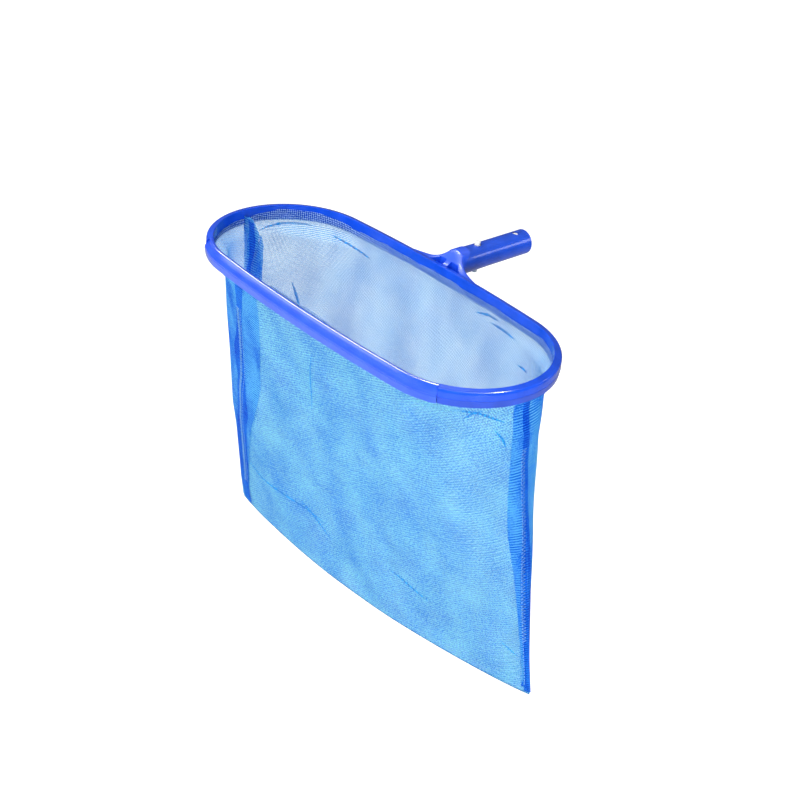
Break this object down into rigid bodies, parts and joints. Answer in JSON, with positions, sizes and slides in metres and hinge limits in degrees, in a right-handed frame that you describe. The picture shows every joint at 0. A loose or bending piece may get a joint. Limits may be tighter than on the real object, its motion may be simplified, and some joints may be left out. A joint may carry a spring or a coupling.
{
  "type": "leaf skimmer net",
  "caption": "Oval-rimmed deep leaf skimmer net for pools and spas, with a hanging fine-mesh bag and a tube spigot whose spring buttons lock into a telescopic pole.",
  "frame": {"origin": "on the handle tube's axis, at the plane of the tube's open mouth", "axes": "+Y along the handle tube, out of its mouth towards the pole; +X along the rim's long axis; +Z out of the net's mouth, so the bag hangs towards -Z"},
  "size_m": [0.4996, 0.3207, 0.4235],
  "materials": {
    "rim_frame": "satin gloss, royal blue moulded plastic",
    "neck": "satin gloss, royal blue moulded plastic",
    "handle_tube": "satin gloss, royal blue moulded plastic",
    "front_bar": "satin gloss, royal blue moulded plastic",
    "retainer": "satin gloss, royal blue moulded plastic",
    "hem": "folded nylon mesh, several layers",
    "mesh": "fine knitted nylon mesh, see-through, light blue",
    "seam": "overlocked mesh allowance, azure",
    "clip": "white acetal"
  },
  "bodies": {
    "net": {"rim_frame": "rim_frame", "neck": "neck", "handle_tube": "handle_tube", "front_bar": "front_bar", "frame_retainer": "retainer", "bar_retainer": "retainer", "net_hem": "hem", "net_front_panel": "mesh", "net_rear_panel": "mesh", "left_seam": "seam", "right_seam": "seam", "clip_bow": "clip"},
    "upper_arm": {"upper_clip_arm": "clip"},
    "lower_arm": {"lower_clip_arm": "clip"}
  },
  "joints": [
    {"name": "upper_button_press", "type": "hinge", "parent": "net", "child": "upper_arm", "pos_m": [0, -0.0108, 0.0093], "axis": [1, 0, 0], "range_deg": [0, 4.5], "stiffness_Nm_per_rad": 2, "springref_deg": -8.59},
    {"name": "lower_button_press", "type": "hinge", "parent": "net", "child": "lower_arm", "pos_m": [0, -0.0108, -0.0093], "axis": [-1, 0, 0], "range_deg": [0, 4.5], "stiffness_Nm_per_rad": 2, "springref_deg": -8.59}
  ]
}
